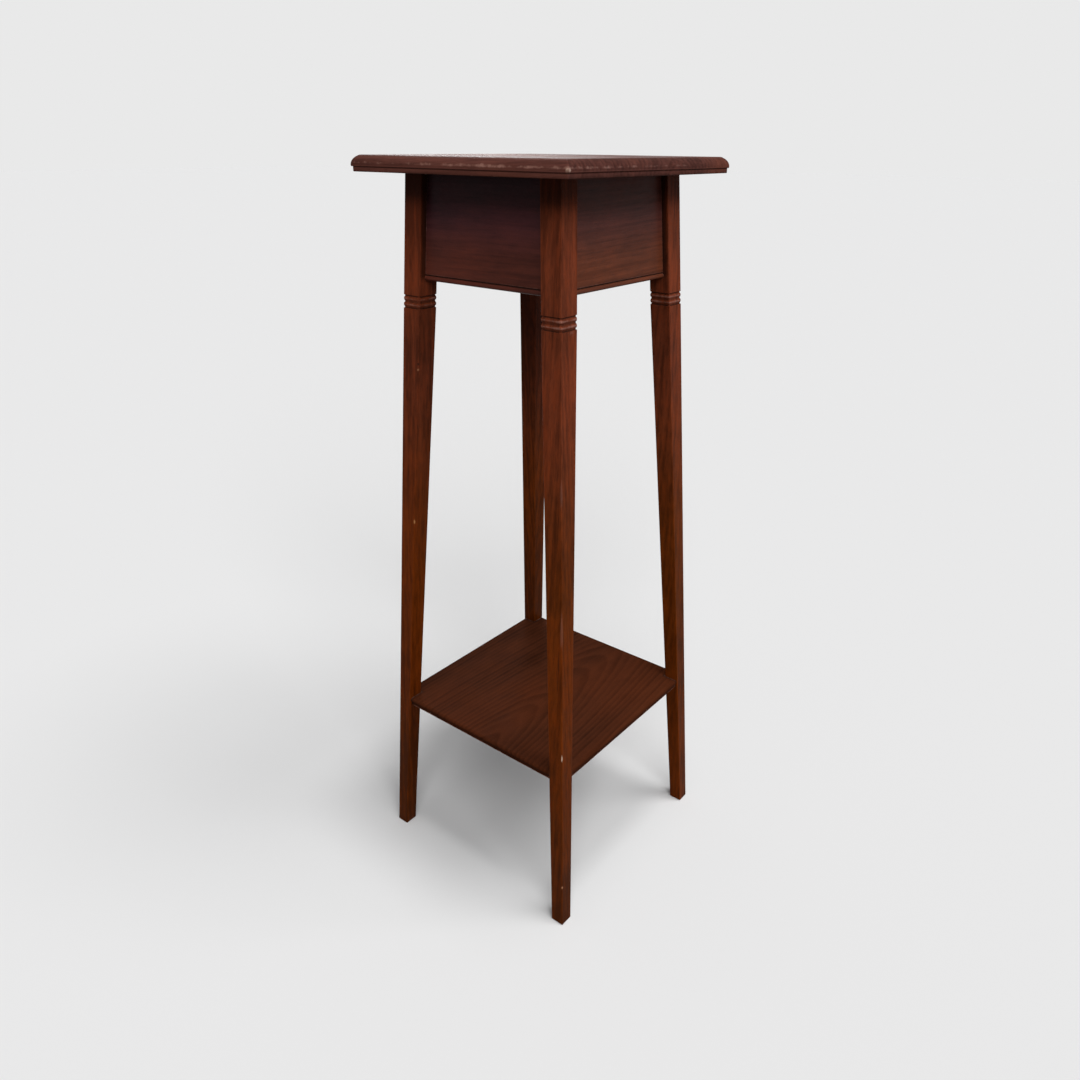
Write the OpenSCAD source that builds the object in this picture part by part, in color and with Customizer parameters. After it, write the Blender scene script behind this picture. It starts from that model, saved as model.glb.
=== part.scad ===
// Square plant stand in polished mahogany: a top board with a moulded edge,
// four aprons set back between four splayed and tapered legs with a beaded
// collar, and a shelf with a smaller moulded edge, notched round the legs.
// Dowels, glue blocks and screws hold it together.
// Millimetres, +Z up. The origin is the middle of the footprint on the floor.
// -Y is the front. The legs lean outwards in both directions by leg_splay.

/* [Overall] */
// Height from the floor to the top face
stand_h = 900; // [600:5:1100]
// Lean of each leg outwards, seen square to a side, in degrees
leg_splay = 2.47; // [0:0.05:3.5]

/* [Top board] */
// Width of the square top board
top_w = 304; // [270:1:400]
// How far the top board stands out over the tops of the legs
top_overhang = 41.5; // [25:0.5:50]
// Thickness of the top board
top_t = 18; // [16:0.5:30]
// Width of the broad round along the top's upper edge
top_round_w = 8; // [4:0.5:8]
// Height of that round, which is more than its width
top_round_h = 10.8; // [8.5:0.1:11]
// Height of the flat lip under the round
top_lip = 0.5; // [0.2:0.1:1]
// Radius of the nose under the lip
top_nose = 1.2; // [1:0.1:3]
// How far the band under the nose stands back
top_undercut = 1.7; // [1:0.1:5]

/* [Legs] */
// Square section of a leg above its collar
leg_w = 27; // [24:0.5:36]
// Square section of a leg at the floor
foot_w = 17; // [14:0.5:24]
// Chamfer round the bottom of each foot
foot_chamfer = 1; // [0.5:0.5:4]
// Plain length of leg between the aprons and the collar
collar_gap = 17.5; // [8:0.5:60]
// Height of one bead of the collar
collar_bead_h = 4.9; // [3:0.1:9]
// Width of one groove of the collar
collar_groove_w = 1.8; // [1:0.1:4]
// Depth of the collar's grooves
collar_depth = 0.9; // [0.6:0.1:2]
// Number of beads in the collar
collar_beads = 2; // [1:1:4]

/* [Aprons] */
// Height of the aprons
apron_h = 118; // [95:1:160]
// Thickness of the aprons
apron_t = 16; // [12:0.5:18]
// How far the aprons stand back from the outer faces of the legs
apron_recess = 8; // [2:0.5:9]
// Diameter of the bead along an apron's lower edge
bead_d = 6; // [3:0.5:9]
// How far that bead stands out from the apron's face
bead_proud = 0.8; // [0:0.1:1.5]
// Width and depth of the quirk above that bead
quirk = 1.5; // [0.8:0.1:2.5]

/* [Shelf] */
// Height of the shelf's top face above the floor
shelf_z = 208; // [120:1:420]
// Thickness of the shelf
shelf_t = 11; // [9:0.5:20]
// How far the shelf's edges stand back from the outer faces of the legs
shelf_setback = 1; // [0.5:0.1:4]
// Width of the broad round along the shelf's upper edge
shelf_round_w = 3; // [1.5:0.5:3]
// Height of that round, which is more than its width
shelf_round_h = 3.4; // [3.1:0.1:4]
// Height of the flat lip under the round
shelf_lip = 0.4; // [0.2:0.1:0.8]
// Radius of the nose under the lip
shelf_nose = 1.4; // [0.8:0.1:2]
// How far the band under the nose stands back
shelf_undercut = 2; // [0.8:0.1:3]
// Eased arris round the shelf's notches
notch_ease = 0.6; // [0.3:0.1:1.5]

/* [Joinery] */
// Diameter of the dowels between aprons and legs
dowel_d = 8; // [6:0.5:9]
// Length of those dowels
dowel_l = 36; // [24:1:38]
// Distance of the outer dowels from an apron's upper and lower edges
dowel_margin = 24; // [16:1:28]
// How much lower the side aprons' dowels sit, so that they pass the others
dowel_stagger = 16; // [11:1:18]
// Diameter of the dowels between shelf and legs
shelf_dowel_d = 6; // [4:0.5:6.5]
// Length of those dowels
shelf_dowel_l = 24; // [16:1:28]
// Glue gap round a dowel, on the radius
glue_gap = 0.05; // [0:0.05:0.2]
// Free depth left behind the end of a dowel or screw
end_gap = 1; // [0.5:0.5:3]
// Height of the blocks glued into the frame's corners
block_h = 40; // [25:1:60]
// Length of a corner block along each apron
block_w = 42; // [34:1:50]
// Height and width of the rubbed blocks in the middle of the aprons
rub_w = 15; // [10:1:22]
// Length of the rubbed blocks
rub_l = 50; // [30:1:56]
// Shank diameter of the screws that hold the top
screw_d = 4; // [3:0.5:5]
// How far those screws go up into the top board
screw_bite = 11; // [8:0.5:13]
// Gap round a screw in its hole, on the radius
screw_gap = 0.05; // [0:0.05:0.3]

/* [Hidden] */

$fn = 64;
mahogany = [0.36, 0.17, 0.11];
polished = [0.42, 0.21, 0.14];
pine = [0.72, 0.56, 0.36];
beech = [0.80, 0.66, 0.48];
steel = [0.55, 0.55, 0.56];

lean = tan(leg_splay);
frame_z = stand_h - top_t;
apron_z = frame_z - apron_h;
collar_h = collar_beads * collar_bead_h + (collar_beads + 1) * collar_groove_w;
collar_z = apron_z - collar_gap - collar_h;
shelf_w = 2 * (outer(shelf_z) - shelf_setback);
screw_l = block_h + screw_bite;
screw_head_d = 2 * screw_d;
reach = 2 * (top_w + outer(0));

// Distance from the middle to the outer face of a leg, at height z
function outer(z) = top_w / 2 - top_overhang + lean * (frame_z - z);
// Section of a leg at height z: parallel down to the collar, then tapered
function leg_size(z) = z > collar_z ? leg_w : foot_w + (leg_w - foot_w) * z / collar_z;
// Distance from the middle to the inner face of a leg, at height z
function inner(z) = outer(z) - leg_size(z);
// Distance from the middle to the outer and inner face of an apron, at height z
function apron_face(z) = outer(z) - apron_recess;
function apron_back_face(z) = apron_face(z) - apron_t;

// A profile drawn as x and z, pushed along Y
module along_y(length = reach)
    rotate([90, 0, 0])
        linear_extrude(length, center = true)
            children();

// A profile drawn as y and z, pushed along X
module along_x(length = reach)
    rotate([90, 0, 90])
        linear_extrude(length, center = true)
            children();

// A profile pushed both ways, so that it meets itself in mitres
module mitred()
    intersection() {
        along_y() children();
        along_x() children();
    }

// Turns what is drawn for the back right corner into another corner
module corner(side, end)
    mirror([side < 0 ? 1 : 0, 0, 0])
        mirror([0, end < 0 ? 1 : 0, 0])
            children();

module all_corners()
    for (side = [-1, 1])
        for (end = [-1, 1])
            corner(side, end) children();

// ---- Legs ----

// What the collar takes off a face: a band with round beads left standing.
// Drawn with the face as the line x = 0, the leg on its left
module collar_cut() {
    bead_r = (pow(collar_bead_h / 2, 2) + pow(collar_depth, 2)) / (2 * collar_depth);
    pitch = collar_bead_h + collar_groove_w;
    difference() {
        translate([-collar_depth, 0])
            square([2 * collar_depth, collar_h]);
        for (i = [0 : collar_beads - 1])
            translate([-bead_r, collar_groove_w + collar_bead_h / 2 + i * pitch])
                circle(r = bead_r);
    }
}

module leg_blank_profile()
    polygon([
        [outer(0) - foot_chamfer, 0],
        [outer(foot_chamfer), foot_chamfer],
        [outer(frame_z), frame_z],
        [inner(frame_z), frame_z],
        [inner(collar_z), collar_z],
        [inner(foot_chamfer), foot_chamfer],
        [inner(0) + foot_chamfer, 0],
    ]);

module leg_profile()
    difference() {
        leg_blank_profile();
        translate([outer(collar_z), collar_z])
            rotate(leg_splay)
                collar_cut();
        translate([inner(collar_z), collar_z])
            rotate(leg_splay)
                mirror([1, 0])
                    collar_cut();
    }

module leg(side, end)
    color(mahogany)
        difference() {
            corner(side, end)
                mitred() leg_profile();
            corner(side, end)
                corner_apron_dowels(glue_gap, end_gap);
            corner(side, end)
                corner_shelf_dowel(glue_gap, end_gap);
        }

// ---- Aprons ----

// Section of an apron: the leaning board, its quirk and the bead below it
module apron_section() {
    bead_x = apron_face(apron_z) - bead_d / 2 + bead_proud;
    quirk_z = apron_z + bead_d;
    difference() {
        polygon([
            [apron_face(apron_z + bead_d / 2), apron_z + bead_d / 2],
            [apron_face(frame_z), frame_z],
            [apron_back_face(frame_z), frame_z],
            [apron_back_face(apron_z), apron_z],
            [bead_x, apron_z],
        ]);
        translate([apron_face(quirk_z) - quirk, quirk_z - quirk / 2])
            square([2 * quirk, quirk]);
    }
    translate([bead_x, apron_z + bead_d / 2])
        circle(d = bead_d);
}

// Front view of an apron: its ends lean with the legs' inner faces
module apron_front_view()
    polygon([
        [-inner(apron_z), apron_z],
        [inner(apron_z), apron_z],
        [inner(frame_z), frame_z],
        [-inner(frame_z), frame_z],
    ]);

// Apron across the back, along X
module apron_across(end)
    color(polished)
        difference() {
            corner(1, end)
                intersection() {
                    along_x() apron_section();
                    along_y() apron_front_view();
                }
            all_corners() corner_apron_dowels(glue_gap, end_gap);
        }

// Apron along the right side, along Y
module apron_along(side)
    color(polished)
        difference() {
            corner(side, 1)
                intersection() {
                    along_y() apron_section();
                    along_x() apron_front_view();
                }
            all_corners() corner_apron_dowels(glue_gap, end_gap);
        }

// ---- Boards with a moulded edge ----

// The edge's section, from the top face down: a broad round, a flat lip, a nose
// that turns back under it, and a band. What is drawn is the whole board, seen
// from the end
module moulded_board_profile(half, top_z, thick, round_w, round_h, lip_h, nose_r, undercut) {
    under_z = top_z - thick;
    round_z = top_z - round_h;
    nose_z = round_z - lip_h;
    round_r = (pow(round_w, 2) + pow(round_h, 2)) / (2 * round_w);
    difference() {
        translate([-half, under_z])
            square([2 * half, thick]);
        for (flip = [0, 1])
            mirror([flip, 0]) {
                difference() {
                    translate([half - round_w, round_z])
                        square([2 * round_w, 2 * round_h]);
                    translate([half - round_r, round_z])
                        circle(r = round_r);
                }
                difference() {
                    translate([half - nose_r, nose_z - nose_r])
                        square([2 * nose_r, nose_r]);
                    translate([half - nose_r, nose_z])
                        circle(r = nose_r);
                }
                translate([half - undercut, nose_z - nose_r - thick])
                    square([2 * undercut, thick]);
            }
    }
}

module top_board()
    color(polished)
        difference() {
            mitred()
                moulded_board_profile(top_w / 2, stand_h, top_t,
                    top_round_w, top_round_h, top_lip, top_nose, top_undercut);
            all_corners() corner_screw_hole();
        }

// ---- Shelf ----

// What eases the top arris of a notch: a slope that leaves the leg's face a
// little below the shelf's top. It is drawn on into the leg
module notch_ease_profile() {
    start_z = shelf_z - notch_ease;
    translate([inner(start_z), start_z])
        polygon([
            [notch_ease, -notch_ease],
            [-2 * notch_ease, 2 * notch_ease],
            [reach, 2 * notch_ease],
            [reach, -notch_ease],
        ]);
}

module shelf()
    color(polished)
        difference() {
            mitred()
                moulded_board_profile(shelf_w / 2, shelf_z, shelf_t,
                    shelf_round_w, shelf_round_h, shelf_lip, shelf_nose,
                    shelf_undercut);
            all_corners() mitred() leg_blank_profile();
            all_corners() mitred() notch_ease_profile();
            all_corners() corner_shelf_dowel(glue_gap, end_gap);
        }

// ---- Blocks inside the frame ----

// Cross-section, in x and z, of a space that ends on an apron's inner face
module behind_apron(height, depth)
    polygon([
        [apron_back_face(frame_z) - depth, frame_z],
        [apron_back_face(frame_z), frame_z],
        [apron_back_face(frame_z - height), frame_z - height],
        [apron_back_face(frame_z) - depth, frame_z - height],
    ]);

// Middle of a corner block, as equal x and y
function block_middle() = apron_back_face(frame_z) - block_w / 3;

module corner_block(side, end)
    color(pine)
        corner(side, end)
            difference() {
                mitred() behind_apron(block_h, block_w);
                mitred() leg_blank_profile();
                block_front_cut();
                corner_screw_hole();
            }

// Everything in front of a corner block's slanting face
module block_front_cut() {
    near = apron_back_face(frame_z) - block_w;
    far = apron_back_face(frame_z - block_h);
    translate([0, 0, frame_z - block_h - 1])
        linear_extrude(block_h + 2)
            polygon([
                [near - 1, near - 1],
                [far + 1, near - 1],
                [near - 1, far + 1],
            ]);
}

module rub_block_across(end)
    color(pine)
        corner(1, end)
            along_x(rub_l) behind_apron(rub_w, rub_w);

module rub_block_along(side)
    color(pine)
        corner(side, 1)
            along_y(rub_l) behind_apron(rub_w, rub_w);

// ---- Dowels and screws ----

// A dowel along Z, centred, with chamfered ends
module dowel(d, length, grow = 0, extra = 0) {
    r = d / 2 + grow;
    half = length / 2 + extra;
    chamfer = d / 8;
    rotate_extrude()
        polygon([
            [0, -half],
            [r - chamfer, -half],
            [r, -half + chamfer],
            [r, half - chamfer],
            [r - chamfer, half],
            [0, half],
        ]);
}

// Heights of the two dowels at an end of a front or back apron
function dowel_heights() = [frame_z - dowel_margin, apron_z + dowel_margin + dowel_stagger];

// The four dowels of the back right corner: two along X, two along Y and lower
module corner_apron_dowels(grow = 0, extra = 0)
    for (z = dowel_heights()) {
        translate([inner(z), apron_face(z) - apron_t / 2, z])
            rotate([0, 90, 0])
                dowel(dowel_d, dowel_l, grow, extra);
        low = z - dowel_stagger;
        translate([apron_face(low) - apron_t / 2, inner(low), low])
            rotate([90, 0, 0])
                dowel(dowel_d, dowel_l, grow, extra);
    }

// The dowel between the shelf and the back right leg, along X
module corner_shelf_dowel(grow = 0, extra = 0) {
    z = shelf_z - shelf_t / 2;
    translate([inner(z), outer(z) - leg_size(z) / 2, z])
        rotate([0, 90, 0])
            dowel(shelf_dowel_d, shelf_dowel_l, grow, extra);
}

module apron_dowels()
    color(beech)
        all_corners() corner_apron_dowels();

module shelf_dowels()
    color(beech)
        all_corners() corner_shelf_dowel();

// Countersunk wood screw, point up, its head at z = 0
module screw_body(grow = 0, extra = 0) {
    head_r = screw_head_d / 2 + grow;
    shank_r = screw_d / 2 + grow;
    cone_h = head_r - shank_r;
    rotate_extrude()
        polygon([
            [0, 0],
            [head_r, 0],
            [shank_r, cone_h],
            [shank_r, screw_l - screw_d + extra],
            [0, screw_l + extra],
        ]);
}

module screw()
    difference() {
        screw_body();
        translate([-screw_head_d, -screw_d / 8, -1])
            cube([2 * screw_head_d, screw_d / 4, 1 + screw_d / 4]);
    }

module at_corner_screw()
    translate([block_middle(), block_middle(), frame_z - block_h])
        children();

module corner_screw_hole()
    at_corner_screw() screw_body(screw_gap, end_gap);

module top_screws()
    color(steel)
        all_corners() at_corner_screw() screw();

// ---- Nodes ----

top_board();
apron_across(-1);  // apron_front
apron_across(1);  // apron_back
apron_along(-1);  // apron_left
apron_along(1);  // apron_right
leg(-1, -1);  // leg_front_left
leg(1, -1);  // leg_front_right
leg(-1, 1);  // leg_back_left
leg(1, 1);  // leg_back_right
shelf();
corner_block(-1, -1);  // corner_block_front_left
corner_block(1, -1);  // corner_block_front_right
corner_block(-1, 1);  // corner_block_back_left
corner_block(1, 1);  // corner_block_back_right
rub_block_across(-1);  // rub_block_front
rub_block_across(1);  // rub_block_back
rub_block_along(-1);  // rub_block_left
rub_block_along(1);  // rub_block_right
apron_dowels();
shelf_dowels();
top_screws();
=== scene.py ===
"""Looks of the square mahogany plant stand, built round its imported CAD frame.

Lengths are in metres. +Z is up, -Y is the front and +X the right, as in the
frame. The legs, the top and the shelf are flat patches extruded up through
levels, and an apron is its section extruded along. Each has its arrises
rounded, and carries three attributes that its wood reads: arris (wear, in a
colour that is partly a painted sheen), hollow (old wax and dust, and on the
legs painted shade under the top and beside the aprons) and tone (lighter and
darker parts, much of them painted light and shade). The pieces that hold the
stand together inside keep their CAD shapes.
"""

import math
from typing import NamedTuple

import bmesh
import bpy
from bpy.props import FloatProperty, FloatVectorProperty, IntProperty, PointerProperty
from mathutils import Matrix, Vector, noise
from mathutils.kdtree import KDTree


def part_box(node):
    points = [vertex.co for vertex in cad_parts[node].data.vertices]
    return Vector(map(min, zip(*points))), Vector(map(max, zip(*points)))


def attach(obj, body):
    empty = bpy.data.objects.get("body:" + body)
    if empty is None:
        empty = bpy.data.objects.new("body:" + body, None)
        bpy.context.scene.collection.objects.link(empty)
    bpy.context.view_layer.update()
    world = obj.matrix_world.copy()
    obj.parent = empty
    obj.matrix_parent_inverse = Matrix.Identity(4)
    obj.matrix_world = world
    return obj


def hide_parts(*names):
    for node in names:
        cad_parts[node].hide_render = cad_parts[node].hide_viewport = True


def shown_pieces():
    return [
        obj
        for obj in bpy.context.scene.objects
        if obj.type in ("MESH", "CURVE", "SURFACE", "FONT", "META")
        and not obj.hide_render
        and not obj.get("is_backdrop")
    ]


bl_info = {
    "name": "Plant Stand Looks",
    "version": (1, 0, 0),
    "blender": (4, 5, 0),
    "location": "3D View > Sidebar > Stand",
    "description": "Wood, joinery and studio for a square mahogany plant stand",
    "category": "Add Mesh",
}

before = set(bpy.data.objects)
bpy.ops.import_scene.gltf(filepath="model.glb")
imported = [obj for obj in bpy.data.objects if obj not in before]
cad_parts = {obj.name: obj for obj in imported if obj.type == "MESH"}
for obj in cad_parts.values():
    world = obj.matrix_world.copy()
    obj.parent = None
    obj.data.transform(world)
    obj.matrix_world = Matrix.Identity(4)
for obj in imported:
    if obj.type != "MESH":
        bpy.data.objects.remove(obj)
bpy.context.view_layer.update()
TOP_LOW, TOP_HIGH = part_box("top_board")
APRON_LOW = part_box("apron_front")[0]
SHELF_LOW, SHELF_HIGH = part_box("shelf")
LEG_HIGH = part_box("leg_back_right")[1]

BODY = "root"
SIDES = {"left": -1, "right": 1}
ENDS = {"front": -1, "back": 1}
# Where a wide board is divided across, in shares of its half width
BOARD_CUTS = (-1.0, -0.965, -0.6, -0.2, 0.2, 0.6, 0.965, 1.0)
# Radius of the arrises of the aprons and the shelf, crisper than the others
CRISP_ARRIS = 0.0004
# How far from a leg's inner face a point still counts as lying on it
FACE_SLACK = 0.002


# ---- What a user would change ----


def length(name, description, default, high=1.0):
    return FloatProperty(
        name=name,
        description=description,
        default=default,
        min=0.0,
        max=high,
        unit="LENGTH",
        subtype="DISTANCE",
        precision=4,
    )


def share(name, description, default, high=1.0):
    return FloatProperty(name=name, description=description, default=default, min=0.0, max=high)


def ior(name, description, default):
    return FloatProperty(name=name, description=description, default=default, min=1.0, max=2.0)


def colour(name, description, default):
    return FloatVectorProperty(
        name=name,
        description=description,
        default=default,
        min=0.0,
        max=1.0,
        size=3,
        subtype="COLOR",
    )


class StandSizes(bpy.types.PropertyGroup):
    """Sizes of the boards, as the frame has them"""

    lean: FloatProperty(
        name="Leg lean",
        description="Lean of each leg outwards, seen square to a side",
        default=math.radians(2.47),
        min=0.0,
        max=0.1,
        subtype="ANGLE",
        unit="ROTATION",
    )
    leg_w: length("Leg width", "Square section of a leg above its collar", 0.027)
    foot_w: length("Foot width", "Square section of a leg at the floor", 0.017)
    foot_chamfer: length("Foot chamfer", "Chamfer round the bottom of a foot", 0.001)
    collar_gap: length("Collar gap", "Plain leg between aprons and collar", 0.0175)
    collar_bead_h: length("Collar bead", "Height of one bead of the collar", 0.0049)
    collar_groove_w: length("Collar groove", "Width of a groove of the collar", 0.0018)
    collar_depth: length("Collar depth", "Depth of the collar's grooves", 0.0009)
    collar_beads: IntProperty(
        name="Collar beads", description="Beads in the collar", default=2, min=1, max=4
    )
    apron_t: length("Apron thickness", "Thickness of the aprons", 0.016)
    apron_recess: length("Apron recess", "How far aprons stand back from the legs", 0.008)
    bead_d: length("Apron bead", "Diameter of the bead under an apron", 0.006)
    bead_proud: length("Bead proud", "How far the bead stands out", 0.0008)
    quirk: length("Quirk", "Width and depth of the quirk above the bead", 0.0015)
    top_round_w: length("Top round width", "Width of the round on the top's edge", 0.008)
    top_round_h: length("Top round height", "Height of the round on the top's edge", 0.0108)
    top_lip: length("Top lip", "Flat lip under the top's round", 0.0005)
    top_nose: length("Top nose", "Radius of the nose under the top's lip", 0.0012)
    top_undercut: length("Top undercut", "Set-back of the band under the top's nose", 0.0017)
    shelf_round_w: length("Shelf round width", "Width of the round on the shelf's edge", 0.003)
    shelf_round_h: length("Shelf round height", "Height of the round on the shelf's edge", 0.0034)
    shelf_lip: length("Shelf lip", "Flat lip under the shelf's round", 0.0004)
    shelf_nose: length("Shelf nose", "Radius of the nose under the shelf's lip", 0.0014)
    shelf_undercut: length("Shelf undercut", "Set-back of the band under that nose", 0.002)
    shelf_setback: length("Shelf set-back", "Shelf's edge behind the legs' faces", 0.001)
    notch_ease: length("Notch ease", "Eased arris round the shelf's notches", 0.0006)
    arris: length("Arris", "Radius of the eased arrises", 0.0009)
    wear_reach: length("Wear reach", "How far wear spreads from an arris", 0.004)
    dirt_reach: length("Dirt reach", "How far dirt spreads from a hollow", 0.003)
    ripple: length("Ripple", "Unevenness left by planing by hand", 0.00012)


class StandFinish(bpy.types.PropertyGroup):
    """Colours and gloss of the woods and the steel"""

    # The legs' two colours are partly painted light: bluer high up, as a painted sheen, and darker
    # lower down, as painted shade.
    leg_wood: colour("Leg wood", "Stained mahogany of the legs high up", (0.096, 0.0215, 0.0088))
    leg_low: colour("Lower leg wood", "The legs' wood lower down", (0.083, 0.0176, 0.0021))
    # The aprons' two colours are painted light: shaded under the top, lit lower down.
    apron_wood: colour("Apron wood", "Aprons in the shelter of the top", (0.035, 0.0108, 0.0135))
    apron_lit: colour("Lower apron wood", "Aprons lower down, more faded", (0.058, 0.0150, 0.0100))
    top_wood: colour("Top wood", "Stained mahogany of the top", (0.060, 0.0212, 0.0158))
    shelf_wood: colour("Shelf wood", "Stained mahogany of the shelf", (0.0350, 0.0098, 0.0041))
    # The wear colour is tinted grey and pink: partly bared wood, partly a painted sheen.
    worn_wood_and_sheen: colour("Worn wood", "Wood where the polish has gone", (0.246, 0.127, 0.097))
    # Old wax and dust in the hollows, also laid on the legs as painted shade under the top and
    # beside the aprons
    dirt_and_shade: colour("Dirt", "Old wax and dust in the hollows", (0.010, 0.0050, 0.0035))
    pine: colour("Pine", "Unpolished pine of the blocks", (0.300, 0.165, 0.070))
    beech: colour("Beech", "Unpolished beech of the dowels", (0.480, 0.310, 0.160))
    steel: colour("Steel", "Dull steel of the screws", (0.300, 0.290, 0.275))
    polish_rough: share("Polish roughness", "Roughness of the sound polish", 0.34)
    polish_specular: share("Polish specular", "Strength of the polish's reflection", 0.06)
    polish_ior: ior("Polish IOR", "How strongly sound polish reflects at a glancing angle", 1.4)
    leg_ior: ior("Leg IOR", "The same for the legs, whose polish is thinner", 1.22)
    top_ior: ior("Top IOR", "The same for the top, whose polish has dulled", 1.10)
    shelf_ior: ior("Shelf IOR", "The same for the shelf, whose polish has all but gone", 1.06)
    bare_rough: share("Bare roughness", "Roughness of worn or unpolished wood", 0.62)


class StandStudio(bpy.types.PropertyGroup):
    """Floor, lamps and camera"""

    floor: colour("Floor", "Pale floor and backdrop", (0.815, 0.815, 0.815))
    floor_bounce: share("Floor bounce", "Brightness of the floor as a soft light", 0.28)
    sky: share("Sky", "Soft light from all round", 0.12)
    broad_lamp: share("Broad lamp", "Share of the floor's light from the right", 0.295)
    high_lamp: share("High lamp", "Share of the floor's light from overhead", 0.240)
    low_lamp: share("Low lamp", "Share of the floor's light from the front right", 0.345)
    front_lamp: share("Front lamp", "Light of the lamp on the front faces", 1.40, 10.0)
    right_lamp: share("Right lamp", "Light of the lamp on the right faces", 1.81, 10.0)
    back_lamp: share("Back lamp", "Light of the lamp on the back and left faces", 2.0, 10.0)
    lamp_reach: length("Lamp reach", "How far the stand's lamps are from it", 1.9, high=10.0)


STATE = {"sizes": StandSizes, "finish": StandFinish, "studio": StandStudio}


def settings(name):
    return getattr(bpy.context.scene, "stand_" + name)


# ---- Outlines that the CAD frame shares ----


def outer(z):
    """Distance from the middle to the outer face of a leg at height z."""
    s = settings("sizes")
    return LEG_HIGH.x - math.tan(s.lean) * (z - s.foot_chamfer)


def along(height, stops):
    """The value at a height, on straight lines between stops of (height, value)."""
    if height <= stops[0][0]:
        return stops[0][1]
    for (low, first), (high, last) in zip(stops, stops[1:]):
        if height <= high:
            return first + (last - first) * (height - low) / (high - low)
    return stops[-1][1]


def collar_height():
    s = settings("sizes")
    return s.collar_beads * s.collar_bead_h + (s.collar_beads + 1) * s.collar_groove_w


def collar_bottom():
    return APRON_LOW.z - settings("sizes").collar_gap - collar_height()


def leg_size(z):
    """Section of a leg: parallel down to its collar, then tapered."""
    s = settings("sizes")
    if z > collar_bottom():
        return s.leg_w
    return s.foot_w + (s.leg_w - s.foot_w) * z / collar_bottom()


def inner(z):
    return outer(z) - leg_size(z)


def apron_face(z):
    return outer(z) - settings("sizes").apron_recess


def faces_right(co):
    return co.x > abs(co.y)


def on_inner_face(co):
    """True on the faces of a leg that look toward another leg."""
    return min(abs(co.x), abs(co.y)) <= inner(co.z) + FACE_SLACK


def moulding(board, half, low_z, high_z):
    """Levels (height, half width) of a board's moulded edge, from the underside up."""
    s = settings("sizes")
    parts = ("round_w", "round_h", "lip", "nose", "undercut")
    round_w, round_h, lip, nose, undercut = (getattr(s, f"{board}_{part}") for part in parts)
    arc_steps = 12
    nose_steps = 6
    round_z = high_z - round_h
    nose_z = round_z - lip
    round_r = (round_w**2 + round_h**2) / (2 * round_w)
    levels = [(low_z, half - undercut), (nose_z - nose, half - undercut)]
    for step in range(nose_steps + 1):
        angle = math.pi / 2 * step / nose_steps
        levels.append((nose_z - nose * math.cos(angle), half - nose + nose * math.sin(angle)))
    for step in range(arc_steps + 1):
        rise = math.asin(round_h / round_r) * step / arc_steps
        levels.append(
            (round_z + round_r * math.sin(rise), half - round_r + round_r * math.cos(rise))
        )
    return levels


# ---- Mesh work ----


def extruded(columns, levels, place, keep=lambda i, j: True):
    """A patch of columns by columns squares, extruded up through the levels.

    place(i, j, k) gives the point of column i, row j at level k."""
    bm = bmesh.new()
    squares = columns - 1
    bmesh.ops.create_grid(bm, x_segments=squares, y_segments=squares, size=squares / 2)
    layers = [bm.verts.layers.int.new(name) for name in ("column", "row")]
    for vert in bm.verts:
        for layer, value in zip(layers, (vert.co.x, vert.co.y)):
            vert[layer] = round(value + squares / 2)
    cut = [f for f in bm.faces if not keep(*cell(f, layers))]
    bmesh.ops.delete(bm, geom=cut, context="FACES")
    put(bm.verts, layers, 0, place)
    front = list(bm.faces)
    for level in range(1, levels):
        grown = bmesh.ops.extrude_face_region(bm, geom=front)["geom"]
        if level > 1:
            bmesh.ops.delete(bm, geom=front, context="FACES")
        front = [g for g in grown if isinstance(g, bmesh.types.BMFace)]
        put({v for f in front for v in f.verts}, layers, level, place)
    bmesh.ops.recalc_face_normals(bm, faces=bm.faces)
    return bm


def cell(face, layers):
    return tuple(min(vert[layer] for vert in face.verts) for layer in layers)


def put(verts, layers, level, place):
    for vert in verts:
        vert.co = place(vert[layers[0]], vert[layers[1]], level)


def is_sharp(edge, least=math.radians(40)):
    return len(edge.link_faces) == 2 and edge.calc_face_angle(0.0) > least


def points_along(edges, step=0.002):
    points = []
    for edge in edges:
        start, end = (v.co.copy() for v in edge.verts)
        count = max(1, int((end - start).length / step))
        points += [start.lerp(end, i / count) for i in range(count + 1)]
    return points


def near(points, co, reach):
    """1 at one of the points, falling to 0 at the reach."""
    if points is None or not reach:
        return 0.0
    distance = points.find(co)[2]
    return max(0.0, 1.0 - distance / reach)


def tree_of(points):
    if not points:
        return None
    tree = KDTree(len(points))
    for index, point in enumerate(points):
        tree.insert(point, index)
    tree.balance()
    return tree


def round_arrises(bm, edges, radius):
    bmesh.ops.bevel(
        bm,
        geom=edges,
        offset=radius,
        offset_type="OFFSET",
        affect="EDGES",
        segments=3,
        profile=0.5,
        material=-1,
        clamp_overlap=False,
    )


def rippled(co, normal, amount, seed):
    """A point of a face that a hand plane left slightly uneven."""
    across, up = 22, 9  # waves to a metre
    spot = Vector((co.x * across, co.y * across, co.z * up))
    wave = noise.noise(spot + Vector((seed, 0, 0)))
    return co - normal * amount * (0.5 + 0.5 * wave)


def linked(name, data):
    """A new object of the scene."""
    thing = bpy.data.objects.new(name, data)
    bpy.context.scene.collection.objects.link(thing)
    return thing


def as_object(bm, name, material):
    mesh = bpy.data.meshes.new(name)
    bm.to_mesh(mesh)
    bm.free()
    mesh.materials.append(material)
    return linked(name, mesh)


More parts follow.
